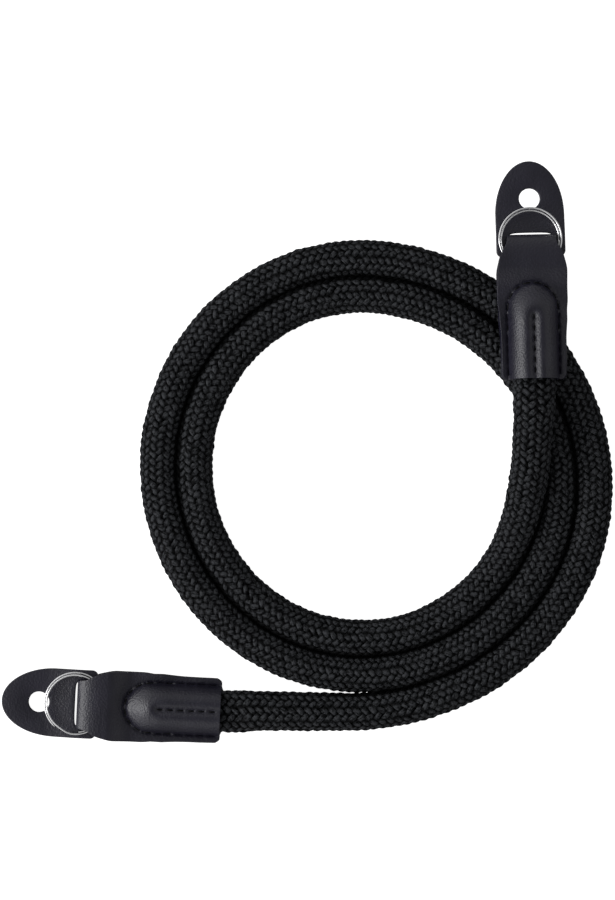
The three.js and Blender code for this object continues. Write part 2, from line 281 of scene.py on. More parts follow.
class NodeWork:
    """A node tree, with short ways to add and link nodes."""

    def __init__(self, tree: bpy.types.NodeTree) -> None:
        """Keeps the tree that the nodes go into."""
        self.tree = tree

    def add(
        self, kind: str, inputs: dict[str | int, object] | None = None, **settings: object
    ) -> bpy.types.Node:
        """Adds a node.

        Args:
            kind: Blender's name of the node type.
            inputs: Values of its sockets, by name or place.
            settings: Its own settings.

        Returns:
            The node.
        """
        node = self.tree.nodes.new(kind)
        for key, value in settings.items():
            setattr(node, key, value)
        for key, value in (inputs or {}).items():
            node.inputs[key].default_value = value
        return node

    def link(self, out: Socket, into: Socket) -> None:
        """Links one socket to another."""
        self.tree.links.new(out, into)

    def ramp(self, out: Socket, stops: Sequence[tuple[float, Colour]]) -> Socket:
        """Turns a value into a colour.

        Args:
            out: The value.
            stops: Places from 0 to 1 with their colours.

        Returns:
            The colour's socket.
        """
        node = self.add("ShaderNodeValToRGB")
        elements = node.color_ramp.elements
        for index, (place, colour) in enumerate(stops):
            element = elements[index] if index < len(elements) else elements.new(place)
            element.position = place
            element.color = (*colour, 1.0)
        self.link(out, node.inputs["Fac"])
        return node.outputs["Color"]

    def spread(self, out: Socket, low: float, high: float) -> Socket:
        """Spreads a value from 0 to 1 over a range of its own.

        Args:
            out: The value.
            low: What 0 becomes.
            high: What 1 becomes.

        Returns:
            The new value's socket.
        """
        node = self.add("ShaderNodeMapRange", {"To Min": low, "To Max": high})
        self.link(out, node.inputs["Value"])
        return node.outputs["Result"]

    def noise(self, place: Socket, scale: float, detail: float) -> Socket:
        """Adds a noise pattern.

        Args:
            place: Where it is read.
            scale: Its waves in each unit of place.
            detail: How many times finer waves are added.

        Returns:
            The pattern's socket, from 0 to 1.
        """
        node = self.add("ShaderNodeTexNoise", {"Scale": scale, "Detail": detail})
        self.link(place, node.inputs["Vector"])
        return node.outputs["Fac"]


class Shader(NodeWork):
    """A material's node tree, with its Principled shader."""

    def __init__(self, name: str) -> None:
        """Starts a material with only a Principled shader.

        Args:
            name: The material's name.
        """
        self.material = bpy.data.materials.new(name)
        self.material.use_nodes = True
        super().__init__(self.material.node_tree)
        self.principled = self.tree.nodes["Principled BSDF"]

    def set(self, **values: object) -> None:
        """Sets constants on the Principled shader, with underscores for the spaces in socket names."""
        for key, value in values.items():
            self.principled.inputs[key.replace("_", " ")].default_value = value

    def feed(self, socket: str, out: Socket) -> None:
        """Links a pattern to one of the Principled shader's sockets."""
        self.link(out, self.principled.inputs[socket])

    def bump(self, out: Socket, depth_mm: float, strength: float) -> None:
        """Adds relief on top of the relief that the shader has.

        Args:
            out: Height from 0 to 1.
            depth_mm: Height of 1, in millimetres.
            strength: How much of it shows.
        """
        node = self.add("ShaderNodeBump", {"Distance": depth_mm * MM, "Strength": strength})
        self.link(out, node.inputs["Height"])
        normal = self.principled.inputs["Normal"]
        if normal.is_linked:
            self.link(normal.links[0].from_socket, node.inputs["Normal"])
        self.link(node.outputs["Normal"], normal)


@dataclass(frozen=True)
class LeatherFinish:
    """Black leather with a fine pebble grain, as a whole skin or as its cut edge."""

    name: str = "black_grained_leather"
    deep: Colour = (0.0086, 0.0080, 0.0158)
    worn: Colour = (0.0152, 0.0141, 0.0250)
    deep_to: float = 0.32
    worn_from: float = 0.72
    rough_low: float = 0.30
    rough_high: float = 0.46
    specular: float = 0.5
    pebble_mm: float = 0.55
    pebble_depth_mm: float = 0.11
    pebble_strength: float = 0.8
    pebble_smoothness: float = 0.6
    pore_mm: float = 0.17
    pore_detail: float = 2.0
    pore_depth_mm: float = 0.035
    pore_strength: float = 0.6
    mottle_mm: float = 7.0
    mottle_detail: float = 4.0

    def material(self) -> Material:
        """Makes the leather's material.

        Returns:
            The material.
        """
        shader = Shader(self.name)
        place = shader.add("ShaderNodeTexCoord").outputs["Object"]
        mottle = shader.noise(place, 1.0 / (self.mottle_mm * MM), self.mottle_detail)
        pore = shader.noise(place, 1.0 / (self.pore_mm * MM), self.pore_detail)
        pebble = shader.add(
            "ShaderNodeTexVoronoi",
            {"Scale": 1.0 / (self.pebble_mm * MM), "Smoothness": self.pebble_smoothness},
            feature="SMOOTH_F1",
        )
        shader.link(place, pebble.inputs["Vector"])
        stops = [(self.deep_to, self.deep), (self.worn_from, self.worn)]
        shader.feed("Base Color", shader.ramp(mottle, stops))
        shader.feed("Roughness", shader.spread(pore, self.rough_low, self.rough_high))
        shader.bump(pebble.outputs["Distance"], self.pebble_depth_mm, self.pebble_strength)
        shader.bump(pore, self.pore_depth_mm, self.pore_strength)
        shader.set(Specular_IOR_Level=self.specular)
        return shader.material


@dataclass(frozen=True)
class StrandFinish:
    """Matte black nylon yarn, with filaments along the strand, and painted shade that makes it darkest
    where strands dip and touch.
    """

    name: str
    # The first two colours are painted shade, for yarn under other strands or against the next turn; the
    # last is the yarn in full light.
    painted_deep_shade: Colour = (0.0006, 0.0006, 0.0008)
    sunk: Colour = (0.0060, 0.0064, 0.0072)
    lit: Colour = (0.0412, 0.0431, 0.0474)
    painted_shade_at: float = 0.4
    roughness: float = 0.65
    specular: float = 0.06
    sheen: float = 0.01
    sheen_roughness: float = 0.4
    noise_detail: float = 2.0
    filaments_round: float = 34.0
    filament_mm: float = 5.0
    filament_depth_mm: float = 0.05
    filament_strength: float = 0.7
    filament_low: float = -0.5
    filament_high: float = 2.5
    mottle_mm: float = 0.6
    mottle_low: float = -0.7
    mottle_high: float = 2.7

    def material(self) -> Material:
        """Makes the yarn's material.

        Returns:
            The material.
        """
        shader = Shader(self.name)
        coordinates = shader.add("ShaderNodeTexCoord")
        stretch = shader.add(
            "ShaderNodeMapping", {"Scale": (self.filaments_round, 1.0 / self.filament_mm, 1.0)}
        )
        shader.link(coordinates.outputs["UV"], stretch.inputs["Vector"])
        filament = shader.noise(stretch.outputs["Vector"], 1.0, self.noise_detail)
        place = coordinates.outputs["Object"]
        mottle = shader.noise(place, 1.0 / (self.mottle_mm * MM), self.noise_detail)
        # Painted shade: the point attribute darkens the yarn where it dips and touches; the mottle and
        # filaments add the yarn's own uneven tone.
        painted_lit_and_tone = shader.add("ShaderNodeAttribute", attribute_name=PAINTED_LIT_ATTRIBUTE).outputs["Fac"]
        for pattern, low, high in (
            (mottle, self.mottle_low, self.mottle_high),
            (filament, self.filament_low, self.filament_high),
        ):
            uneven = shader.add("ShaderNodeMath", operation="MULTIPLY")
            shader.link(painted_lit_and_tone, uneven.inputs[0])
            shader.link(shader.spread(pattern, low, high), uneven.inputs[1])
            painted_lit_and_tone = uneven.outputs["Value"]
        stops = [(0.0, self.painted_deep_shade), (self.painted_shade_at, self.sunk), (1.0, self.lit)]
        shader.feed("Base Color", shader.ramp(painted_lit_and_tone, stops))
        shader.bump(filament, self.filament_depth_mm, self.filament_strength)
        shader.set(
            Roughness=self.roughness,
            Specular_IOR_Level=self.specular,
            Sheen_Weight=self.sheen,
            Sheen_Roughness=self.sheen_roughness,
        )
        return shader.material


@dataclass(frozen=True)
class SteelFinish:
    """Bright plated spring steel, with faint handling marks."""

    name: str = "bright_plated_steel"
    colour: Colour = (0.95, 0.95, 0.96)
    rough_low: float = 0.13
    rough_high: float = 0.2
    mark_mm: float = 0.6
    mark_detail: float = 5.0
    mark_depth_mm: float = 0.006
    mark_strength: float = 0.03

    def material(self) -> Material:
        """Makes the steel's material.

        Returns:
            The material.
        """
        shader = Shader(self.name)
        place = shader.add("ShaderNodeTexCoord").outputs["Object"]
        marks = shader.noise(place, 1.0 / (self.mark_mm * MM), self.mark_detail)
        shader.feed("Roughness", shader.spread(marks, self.rough_low, self.rough_high))
        shader.bump(marks, self.mark_depth_mm, self.mark_strength)
        shader.set(Base_Color=(*self.colour, 1.0), Metallic=1.0)
        return shader.material


@dataclass(frozen=True)
class FloorFinish:
    """A plain white table, bright to the eye, that throws little light back on the strap."""

    name: str = "white_table"
    seen: Colour = (0.80, 0.80, 0.80)
    bounce: Colour = (0.22, 0.22, 0.22)
    glow: float = 0.9
    roughness: float = 0.9

    def material(self) -> Material:
        """Makes the table's material.

        Returns:
            The material.
        """
        shader = Shader(self.name)
        seen = shader.add("ShaderNodeLightPath").outputs["Is Camera Ray"]
        shader.feed("Base Color", shader.ramp(seen, [(0.0, self.bounce), (1.0, self.seen)]))
        shader.feed("Emission Strength", shader.spread(seen, 0.0, self.glow))
        shader.set(Roughness=self.roughness, Specular_IOR_Level=0.0, Emission_Color=(1.0, 1.0, 1.0, 1.0))
        return shader.material


@dataclass(frozen=True)
class StrapEnd:
    """Where one end of the strap lies, in millimetres and degrees, and its ripples' phase."""

    name: str
    fold: Place
    heading_deg: float
    pitch_deg: float
    protector_u: float
    ring_u: float
    ring_v: float
    ring_flip_deg: float
    ring_turn_deg: float
    ripple_phase: float

    def matrix(self) -> Matrix:
        """Works out the end's own frame, in millimetres.

        Returns:
            The frame, with u from the fold to the mouth, v across and w up.
        """
        turn = Matrix.Rotation(math.radians(self.heading_deg), 4, "Z")
        pitch = Matrix.Rotation(math.radians(-self.pitch_deg), 4, "Y")
        return Matrix.Translation(self.fold) @ turn @ pitch

    def point(self, u: float, v: float, w: float) -> Array:
        """Returns a point of the end's frame in the strap's frame, in millimetres."""
        return np.array(self.matrix() @ Vector((u, v, w)))

    def place(self, piece: Piece) -> None:
        """Moves a mesh made in the end's frame to its place, in metres.

        Args:
            piece: The piece, still in millimetres.
        """
        piece.data.transform(Matrix.Scale(MM, 4) @ self.matrix())
        piece.data.update()


class RoutePoint(NamedTuple):
    """A point on the rope's middle line, in millimetres."""

    x: float
    y: float
    z: float


class SectionRow(NamedTuple):
    """The rope's half width and half height at a distance past the pocket's mouth."""

    past_mouth: float
    half_width: float
    half_height: float


class StrandCorner(NamedTuple):
    """A corner of a strand's section, as shares of its width and thickness, and how lit it is painted,
    with painted shade at its sides and underneath.
    """

    across: float
    up: float
    painted_lit: float


class PickRow(NamedTuple):
    """Spacing of the braid's picks at a distance from the rope's lower end."""

    from_end: float
    pick: float


class Lean(Enum):
    """Which way a strand winds about the rope."""

    RIGHT = 1.0
    LEFT = -1.0


@dataclass
class RopeLine:
    """The rope's middle line at even steps: its section, its braid's turn and its turns beside."""

    along: Array
    centre: Array
    side: Array
    rise: Array
    half_width: Array
    half_height: Array
    turn: Array
    beside: Array


@dataclass
class BraidedRope:
    """The rope: a core along the whole route, under strands that pass over two and under two."""

    ends: Sequence[StrapEnd]
    rest_height: float = 5.0
    diameter: float = 10.2
    mouth_u: float = 40.0
    middle_height: float = 4.85
    in_pocket: float = 22.0
    pocket_spans: int = 3
    coil_x: float = 15.5
    coil_y: float = -3.8
    inner_radius: float = 47.65
    turn_spacing: float = 9.85
    oval: float = 0.6
    coil_from_deg: int = 45
    coil_to_deg: int = 795
    coil_step_deg: int = 15
    step_out_from_deg: float = 277.0
    step_out_to_deg: float = 395.0
    route_samples: int = 40
    strands_each_way: int = 16
    strands_over: int = 2
    over_phase: float = 0.25 * math.pi
    pieces_each_way: int = 2
    strand_width: float = 1.55
    strand_swell: float = 0.1
    strand_thickness: float = 0.7
    weave_height: float = 0.24
    strand_step: float = 0.4
    strands_from: float = 12.0
    # Painted shade: how far a strand dips before it is painted fully shaded, and how near the next turn
    # it is painted in contact shade.
    painted_shade_below: float = 0.12
    painted_shade_within: float = 5.3
    painted_shade_free_beyond: float = 6.9
    other_turn_from: float = 40.0
    other_turn_within: float = 3.0
    other_turn_every: int = 4
    core_inset: float = 0.66
    core_step: float = 4.0
    core_sides: int = 24
    uneven_lift: float = 0.09
    uneven_width: float = 0.12
    uneven_angle: float = 0.035
    uneven_every: float = 1.7
    seed: int = 11
    lead_in: Sequence[RoutePoint] = (
        RoutePoint(63.0, 14.85, 15.9),
        RoutePoint(62.85, 9.85, 15.2),
        RoutePoint(62.6, 4.85, 13.9),
        RoutePoint(62.4, -0.15, 12.45),
        RoutePoint(62.05, -5.15, 10.9),
        RoutePoint(61.3, -10.4, 9.35),
        RoutePoint(60.2, -16.3, 7.7),
        RoutePoint(58.4, -22.25, 6.2),
        RoutePoint(56.0, -28.05, 5.2),
    )
    tail: Sequence[RoutePoint] = (
        RoutePoint(24.8, -71.35, 4.85),
        RoutePoint(15.5, -72.4, 4.85),
        RoutePoint(6.6, -72.5, 4.85),
        RoutePoint(-2.4, -72.4, 4.85),
        RoutePoint(-12.5, -72.3, 4.85),
    )
    section: Sequence[SectionRow] = (
        SectionRow(-22.0, 5.2, 2.6),
        SectionRow(-5.0, 5.55, 2.8),
        SectionRow(0.0, 5.85, 3.0),
        SectionRow(3.4, 6.0, 3.7),
        SectionRow(6.2, 5.95, 4.3),
        SectionRow(10.4, 5.7, 4.7),
        SectionRow(16.0, 5.6, 4.85),
        SectionRow(26.0, 5.5, 4.95),
        SectionRow(45.0, 5.35, 5.0),
    )
    # The last column paints shade: part shade at a strand's sides, full painted shade underneath.
    strand_section: Sequence[StrandCorner] = (
        StrandCorner(0.0, 0.5, 1.0),
        StrandCorner(0.44, 0.2, 0.72),
        StrandCorner(0.3, -0.5, 0.0),
        StrandCorner(-0.3, -0.5, 0.0),
        StrandCorner(-0.44, 0.2, 0.72),
    )
    picks: Sequence[PickRow] = (
        PickRow(0.0, 2.3),
        PickRow(60.0, 2.25),
        PickRow(130.0, 2.03),
    )
    pieces: Pieces = field(default_factory=list)

    def coil_radius(self, deg: Array) -> Array:
        """Works out the coil's radius, which grows by a turn's spacing in each turn.

        Args:
            deg: Angles counted clockwise from +X.

        Returns:
            The radius at each angle.
        """
        steps = np.zeros_like(deg)
        for turn_deg in range(0, self.coil_to_deg - 360, 360):
            steps += smoothstep(deg, self.step_out_from_deg + turn_deg, self.step_out_to_deg + turn_deg)
        return self.inner_radius + self.turn_spacing * steps - self.oval * np.cos(2.0 * np.radians(deg))

    def coil_points(self) -> Array:
        """Works out the coil's turns.

        Returns:
            Points along them.
        """
        last = self.coil_to_deg + self.coil_step_deg
        deg = np.arange(self.coil_from_deg, last, self.coil_step_deg, dtype=float)
        radius = self.coil_radius(deg)
        x = self.coil_x + radius * np.cos(np.radians(deg))
        y = self.coil_y - radius * np.sin(np.radians(deg))
        return np.stack([x, y, np.full_like(x, self.middle_height)], axis=-1)

    def pocket_points(self, end: StrapEnd) -> Array:
        """Returns points along the rope inside one leather end, from its tip to the mouth."""
        stations = self.mouth_u - np.linspace(self.in_pocket, 0.0, self.pocket_spans + 1)
        return np.array([end.point(u, 0.0, self.middle_height) for u in stations])

    def route(self) -> Array:
        """Works out the rope's middle line as a Catmull-Rom curve.

        Returns:
            Closely spaced points along it.
        """
        upper, lower = self.ends
        points = np.concatenate([
            self.pocket_points(upper),
            np.array(self.lead_in),
            self.coil_points(),
            np.array(self.tail),
            self.pocket_points(lower)[::-1],
        ])
        knots = np.vstack([2.0 * points[0] - points[1], points, 2.0 * points[-1] - points[-2]])
        roots = np.sqrt(np.linalg.norm(np.diff(knots, axis=0), axis=1))[:, None]
        before, start, finish, after = knots[:-3], knots[1:-2], knots[2:-1], knots[3:]
        lead, span, trail = roots[:-2], roots[1:-1], roots[2:]
        chord = (finish - start) / span
        leave = ((start - before) / lead - (finish - before) / (lead + span) + chord) * span
        arrive = (chord - (after - start) / (span + trail) + (after - finish) / trail) * span
        share = np.linspace(0.0, 1.0, self.route_samples, endpoint=False)[None, :, None]
        ease = eased(share)
        bend = share * (1.0 - share)
        curve = start[:, None] * (1.0 - ease) + finish[:, None] * ease
        curve = curve + bend * ((1.0 - share) * leave[:, None] - share * arrive[:, None])
        line = np.vstack([curve.reshape(-1, 3), points[-1]])
        line[:, 2] = np.maximum(line[:, 2], self.rest_height)
        return line

    def line(self, step: float, trimmed: float = 0.0) -> RopeLine:
        """Works out the middle line and the section along it.

        Args:
            step: Distance between stations, in millimetres.
            trimmed: Length left off at each end.

        Returns:
            The line.
        """
        curve = self.route()
        gone = np.concatenate([[0.0], np.cumsum(np.linalg.norm(np.diff(curve, axis=0), axis=1))])
        length = gone[-1]
        count = int(round((length - 2.0 * trimmed) / step)) + 1
        along = np.linspace(trimmed, length - trimmed, count)
        centre = np.stack([np.interp(along, gone, curve[:, axis]) for axis in range(3)], axis=-1)
        tangent = unit(np.gradient(centre, along, axis=0))
        side = unit(np.cross(np.array([0.0, 0.0, 1.0]), tangent))
        rise = np.cross(tangent, side)
        past_mouth = np.minimum(along, length - along) - self.in_pocket
        stations = [row.past_mouth for row in self.section]
        half_width = follow_table(stations, [row.half_width for row in self.section], past_mouth)
        half_height = follow_table(stations, [row.half_height for row in self.section], past_mouth)
        from_end = [row.from_end for row in self.picks]
        pick = follow_table(from_end, [row.pick for row in self.picks], length - along)
        turn_rate = 2.0 * math.pi / (self.strands_each_way * pick)
        mean_rate = 0.5 * (turn_rate[1:] + turn_rate[:-1])
        turn = np.concatenate([[0.0], np.cumsum(mean_rate * np.diff(along))])
        beside = self.turns_beside(along, centre, side, rise)
        return RopeLine(along, centre, side, rise, half_width, half_height, turn, beside)

    def turns_beside(self, along: Array, centre: Array, side: Array, rise: Array) -> Array:
        """Finds the rope's own turns that lie beside each station.

        Args:
            along: The stations' distances along the rope.
            centre: The stations' places.
            side: The section's level direction at each station.
            rise: The section's upright direction at each station.

        Returns:
            The nearest turn's middle on each side of a station, across and up its section.
        """
        others = slice(None, None, self.other_turn_every)
        offset = centre[None, others] - centre[:, None]
        across = np.einsum("ijk,ik->ij", offset, side)
        upright = np.einsum("ijk,ik->ij", offset, rise)
        ahead = np.einsum("ijk,ik->ij", offset, np.cross(side, rise))
        apart = np.abs(along[None, others] - along[:, None]) > self.other_turn_from
        apart &= np.abs(ahead) < self.other_turn_within
        distance = np.hypot(across, upright)
        rows = np.arange(len(along))
        nearest: list[Array] = []
        for direction in (-1.0, 1.0):
            gap = np.where(apart & (direction * across > 0.0), distance, np.inf)
            found = np.argmin(gap, axis=1)
            place = np.stack([across[rows, found], upright[rows, found]], axis=-1)
            nearest.append(np.where(np.isfinite(gap[rows, found])[:, None], place, np.inf))
        return np.stack(nearest)

    def wobble(self, along: Array, spread: float, draws: np.random.Generator) -> Array:
        """Returns a random unevenness along a strand, about 0, with a given spread."""
        stations = np.arange(along[0], along[-1] + 2.0 * self.uneven_every, self.uneven_every)
        return np.interp(along, stations, draws.normal(0.0, spread, len(stations)))

    def strand(self, line: RopeLine, lean: Lean, index: int, draws: np.random.Generator) -> Array:
        """Works out one strand of the braid.

        Args:
            line: The rope's line.
            lean: Which way the strand winds.
            index: Which strand it is of those that wind that way.
            draws: Source of its unevenness.

        Returns:
            Its rings of points, anticlockwise along it, with how lit each point is painted, 0 being
            painted shade.
        """
        angle = 2.0 * math.pi * index / self.strands_each_way + lean.value * line.turn
        waves = self.strands_each_way / self.strands_over
        over = lean.value * np.cos(waves * angle - self.over_phase)
        lift = self.weave_height * over + self.wobble(line.along, self.uneven_lift, draws)
        inset = self.weave_height + 0.5 * self.strand_thickness
        angle = angle + self.wobble(line.along, self.uneven_angle, draws)
        across = (np.cos(angle) * (line.half_width - inset + lift))[:, None] * line.side
        upright = (np.sin(angle) * (line.half_height - inset + lift))[:, None] * line.rise
        middle = line.centre + across + upright
        tangent = unit(np.gradient(middle, axis=0))
        outward = (np.cos(angle) / line.half_width)[:, None] * line.side
        outward += (np.sin(angle) / line.half_height)[:, None] * line.rise
        breadth = unit(np.cross(tangent, outward))
        normal = np.cross(breadth, tangent)
        wide = 1.0 + self.strand_swell * over + self.wobble(line.along, self.uneven_width, draws)
        across_share, up_share, painted_lit_share = np.array(self.strand_section).T
        out = self.strand_thickness * up_share[None, :, None] * normal[:, None, :]
        offset = self.strand_width * wide[:, None] * across_share
        sideways = offset[..., None] * breadth[:, None, :]
        rings = middle[:, None, :] + out + sideways
        rings[..., 2] = np.maximum(rings[..., 2], 0.0)
        # Painted shade: darker where the strand dips under crossing strands and where it lies against
        # the rope's next turn.
        painted_lit_here = smoothstep(over, self.painted_shade_below, 1.0)
        for turn in line.beside:
            to_turn = np.cos(angle) * line.half_width - turn[:, 0]
            above_turn = np.sin(angle) * line.half_height - turn[:, 1]
            reach = np.hypot(to_turn, above_turn)
            painted_lit_here = painted_lit_here * smoothstep(reach, self.painted_shade_within, self.painted_shade_free_beyond)
        painted_lit = painted_lit_here[:, None] * painted_lit_share
        return np.concatenate([rings, painted_lit[..., None]], axis=-1)

    def build_strands(self, material: Material) -> None:
        """Builds the braid, in a few pieces for each way that the strands wind.

        Args:
            material: The strands' material.
        """
        line = self.line(self.strand_step, self.strands_from)
        draws = np.random.default_rng(self.seed)
        for lean in Lean:
            strands = [self.strand(line, lean, index, draws) for index in range(self.strands_each_way)]
            for part in range(self.pieces_each_way):
                shape = np.stack(strands[part::self.pieces_each_way])
                name = f"rope_strands_{lean.name.lower()}_{part + 1}"
                piece = tubes(name, shape[..., :3], shape[..., 3])
                wear(piece, material)
                self.pieces.append(piece)

    def build_core(self, material: Material) -> None:
        """Args:
            material: The core's material.
        """
        line = self.line(self.core_step)
        corner = 2.0 * math.pi * np.arange(self.core_sides) / self.core_sides
        wide = (line.half_width - self.core_inset)[:, None] * np.cos(corner)
        high = (line.half_height - self.core_inset)[:, None] * np.sin(corner)
        rings = line.centre[:, None] + wide[..., None] * line.side[:, None]
        rings = rings + high[..., None] * line.rise[:, None]
        # The core is painted in the yarn's deepest painted shade all along, since it shows only in gaps
        # under the strands.
        core = tubes("rope_core", rings[None], np.zeros(rings.shape[:2]))
        wear(core, material)
        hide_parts("rope")
        leaves = self.ends[0].point(self.mouth_u, 0.0, self.middle_height) * MM
        self.pieces.append(core)

    def build(self) -> Pieces:
        """Builds the rope.

        Returns:
            Its pieces.
        """
        strand_material = StrandFinish("black_nylon_braid").material()
        # The core's material is the yarn painted in full shade.
        self.build_core(StrandFinish("rope_core_painted_shade", specular=0.0, sheen=0.0).material())
        self.build_strands(strand_material)
        for piece in self.pieces:
            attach(piece, STRAP_BODY)
        return self.pieces


class OutlineRow(NamedTuple):
    """Half the leather end's width at a station along it."""

    u: float
    half: float


class Ripple(NamedTuple):
    """Two waves that cross: their share of the height, and each one's rates in u, v and phase."""

    share: float
    first: tuple[float, float, float]
    second: tuple[float, float, float]


class Face(Enum):
    """A face of the leather end that a seam shows on."""

    FRONT = 1.0
    BACK = -1.0


@dataclass
class LeatherEnd:
    """One strip of leather folded round the ring, and sewn as a hollow pocket round the rope."""

    end: StrapEnd
    thickness: float = 1.4
    mouth_u: float = 40.0
    loop_clear: float = 4.2
    gap: float = 0.3
    loop_to_u: float = 8.0
    closed_from_u: float = 15.2
    flange_lift: float = 1.2
    flange_curl: float = 0.45
    flange_width: float = 2.2
    pocket_half: float = 6.95
    arch_u: float = 20.0
    bulge: float = 6.1
    fullness: float = 0.67
    arch_share: float = 0.55
    full_from_u: float = 24.0
    groove_depth: float = 1.3
    groove_half: float = 1.45
    groove_from_u: float = 20.0
    groove_full_u: float = 23.5
    seam_depth: float = 0.16
    seam_half: float = 0.6
    slot_depth: float = 0.36
    slot_half: float = 0.42
    slot_share: float = 0.56
    ripple: float = 0.05
    fold_reach: float = 0.4
    fold_to_u: float = 6.2
    rim_round: float = 0.45
    rim_segments: int = 3
    edge_slot: int = 1
    smooth_deg: float = 60.0
    columns: int = 56
    edge_column: float = 0.5
    fine_row: float = 0.34
    coarse_row: float = 0.6
    fold_rows: int = 18
    stitch_pitch: float = 3.0
    stitch_length: float = 2.3
    stitch_width: float = 0.6
    stitch_height: float = 0.44
    stitch_rise: float = 0.15
    stitch_sides: int = 10
    stitch_rings: int = 6
    stitch_smooth_deg: float = 80.0
    seam_from_mouth: float = 0.9
    middle_seam_u: float = 21.6
    outline: Sequence[OutlineRow] = (
        OutlineRow(0.0, 6.7),
        OutlineRow(2.4, 7.1),
        OutlineRow(4.2, 8.2),
        OutlineRow(6.5, 8.95),
        OutlineRow(10.5, 9.7),
        OutlineRow(17.5, 9.75),
        OutlineRow(22.5, 9.25),
        OutlineRow(29.0, 8.85),
        OutlineRow(38.6, 8.75),
        OutlineRow(39.6, 8.3),
        OutlineRow(40.0, 7.8),
    )
    ripples: Sequence[Ripple] = (
        Ripple(1.0, (0.31, 0.22, 1.0), (0.19, -0.41, 2.0)),
        Ripple(0.5, (0.83, -0.57, 3.0), (0.49, 0.91, 0.0)),
    )

    @property
    def fold_radius(self) -> float:
        """The fold's outer radius."""
        return self.thickness + 0.5 * self.loop_clear

    def half_width(self, u: Array) -> Array:
        """Returns half the leather's width at stations along it."""
        return follow_table([row.u for row in self.outline], [row.half for row in self.outline], u)

    def to_seam(self, u: Array, v: Array) -> Array:
        """Returns the distance from the U seam's line, less than 0 inside the pocket."""
        return np.hypot(np.minimum(u - self.arch_u, 0.0), v) - self.pocket_half

    def pocket_share(self, u: Array, v: Array) -> Array:
        """Works out the share of the pocket's bulge: none outside the seam, all of it over the rope.

        Args:
            u: Stations along the leather.
            v: Places across it.

        Returns:
            The share there.
        """
        reach = self.to_seam(u, v) / self.pocket_half + 1.0
        dome = np.maximum(1.0 - reach * reach, 0.0) ** self.fullness
        grown = smoothstep(u, self.arch_u - self.pocket_half, self.full_from_u)
        return dome * (self.arch_share + (1.0 - self.arch_share) * grown)

    def seam_holes(self) -> list[Array]:
        """Works out the needle holes of the U seam and of the middle seam.

        Returns:
            Each seam's holes, as points in u and v.
        """
        straight = self.mouth_u - self.seam_from_mouth - self.arch_u
        half_arch = 0.5 * math.pi * self.pocket_half
        count = int(round(2.0 * (straight + half_arch) / self.stitch_pitch))
        gone = np.linspace(-straight - half_arch, straight + half_arch, count + 1)
        angle = np.clip(gone, -half_arch, half_arch) / self.pocket_half
        beyond = np.maximum(np.abs(gone) - half_arch, 0.0)
        arch = np.stack([
            self.arch_u - self.pocket_half * np.cos(angle) + beyond,
            self.pocket_half * np.sin(angle),
        ], axis=-1)
        reach = self.mouth_u - self.seam_from_mouth - self.middle_seam_u
        stations = np.linspace(0.0, reach, int(round(reach / self.stitch_pitch)) + 1)
        middle = np.stack([self.middle_seam_u + stations, np.zeros_like(stations)], axis=-1)
        return [arch, middle]

    def sewn_in(self, u: Array, v: Array) -> Array:
        """Works out how far the seams pull a face in, most of all along each stitch.

        Args:
            u: Stations along the leather.
            v: Places across it.

        Returns:
            The depth there.
        """
        depth = self.seam_depth * np.exp(-((self.to_seam(u, v) / self.seam_half) ** 2))
        for seam in self.seam_holes():
            for start, finish in zip(seam[:-1], seam[1:]):
                middle = 0.5 * (start + finish)
                along = 0.5 * self.slot_share * (finish - start)
                offset_u, offset_v = u - middle[0], v - middle[1]
                share = (offset_u * along[0] + offset_v * along[1]) / float(along @ along)
                share = np.clip(share, -1.0, 1.0)
                reach = np.hypot(offset_u - share * along[0], offset_v - share * along[1])
                depth = depth + self.slot_depth * np.exp(-((reach / self.slot_half) ** 2))
        return depth

    def rippled(self, u: Array, v: Array) -> Array:
        """Works out the slight waviness of a handled piece of leather.

        Args:
            u: Stations along the leather.
            v: Places across it.

        Returns:
            The height that it adds there.
        """
        height = 0.0
        for ripple in self.ripples:
            first, second = (
                np.sin(in_u * u + in_v * v + in_phase * self.end.ripple_phase)
                for in_u, in_v, in_phase in (ripple.first, ripple.second)
            )
            height = height + ripple.share * first * second
        return self.ripple * height

    def curled(self, u: Array, v: Array) -> Array:
        """Works out how far the flange beside the pocket curls up towards its edge.

        Args:
            u: Stations along the leather.
            v: Places across it.

        Returns:
            The rise there.
        """
        reach = (np.abs(v) - self.pocket_half) / self.flange_width
        beside = smoothstep(u, self.closed_from_u, self.full_from_u)
        return self.flange_curl * beside * np.clip(reach, 0.0, 1.0) ** 2

    def front_top(self, u: Array, v: Array) -> Array:
        """Works out the front layer's outer face, before the seams pull it in.

        Args:
            u: Stations along the leather.
            v: Places across it.

        Returns:
            Its height there.
        """
        loop_top = 2.0 * self.fold_radius
        flange_top = self.flange_lift + 2.0 * self.thickness + self.gap
        closed = smoothstep(u, self.loop_to_u, self.closed_from_u)
        sewn = smoothstep(u, self.groove_from_u, self.groove_full_u)
        groove = self.groove_depth * sewn * np.exp(-((v / self.groove_half) ** 2))
        flat = loop_top + (flange_top - loop_top) * closed
        past_fold = smoothstep(u, self.fold_radius, self.closed_from_u)
        raised = self.bulge * self.pocket_share(u, v) + self.curled(u, v)
        return flat + raised - groove + past_fold * self.rippled(u, v)

    def back_under(self, u: Array, v: Array) -> Array:
        """Works out the back layer's outer face.

        Args:
            u: Stations along the leather.
            v: Places across it.

        Returns:
            Its height there.
        """
        closed = smoothstep(u, self.loop_to_u, self.closed_from_u)
        under_pocket = np.minimum(self.pocket_share(u, v) / self.arch_share, 1.0)
        return self.flange_lift * closed * (1.0 - under_pocket) + self.curled(u, v)

